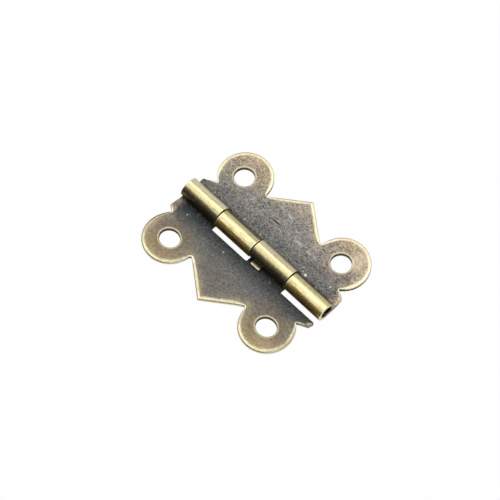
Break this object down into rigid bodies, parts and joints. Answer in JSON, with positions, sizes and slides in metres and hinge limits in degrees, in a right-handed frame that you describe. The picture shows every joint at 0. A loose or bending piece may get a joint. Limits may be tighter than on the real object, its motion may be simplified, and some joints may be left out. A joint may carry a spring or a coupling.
{
  "type": "butterfly hinge",
  "caption": "Small decorative butterfly hinge: two stamped leaves with round ears and pointed middles, rolled round one plain pin to swing a box lid.",
  "frame": {"origin": "centre of the opened hinge on the plane that its undersides lie on", "axes": "+X along the pin, +Y towards the back leaf, +Z away from the mounting surface, on the barrel side"},
  "size_m": [0.0202, 0.0162, 0.0021],
  "materials": {
    "bronzed_leaf": "antique bronze plating, dark in the middle and worn bright on rims and barrel",
    "steel_pin": "dull plated wire"
  },
  "bodies": {
    "front_leaf": {"front_leaf": "bronzed_leaf", "hinge_pin": "steel_pin"},
    "back_leaf": {"back_leaf": "bronzed_leaf"}
  },
  "joints": [
    {"name": "leaf_fold", "type": "hinge", "parent": "front_leaf", "child": "back_leaf", "pos_m": [0, 0, 0.00107], "axis": [1, 0, 0], "range_deg": [-105, 185]}
  ]
}
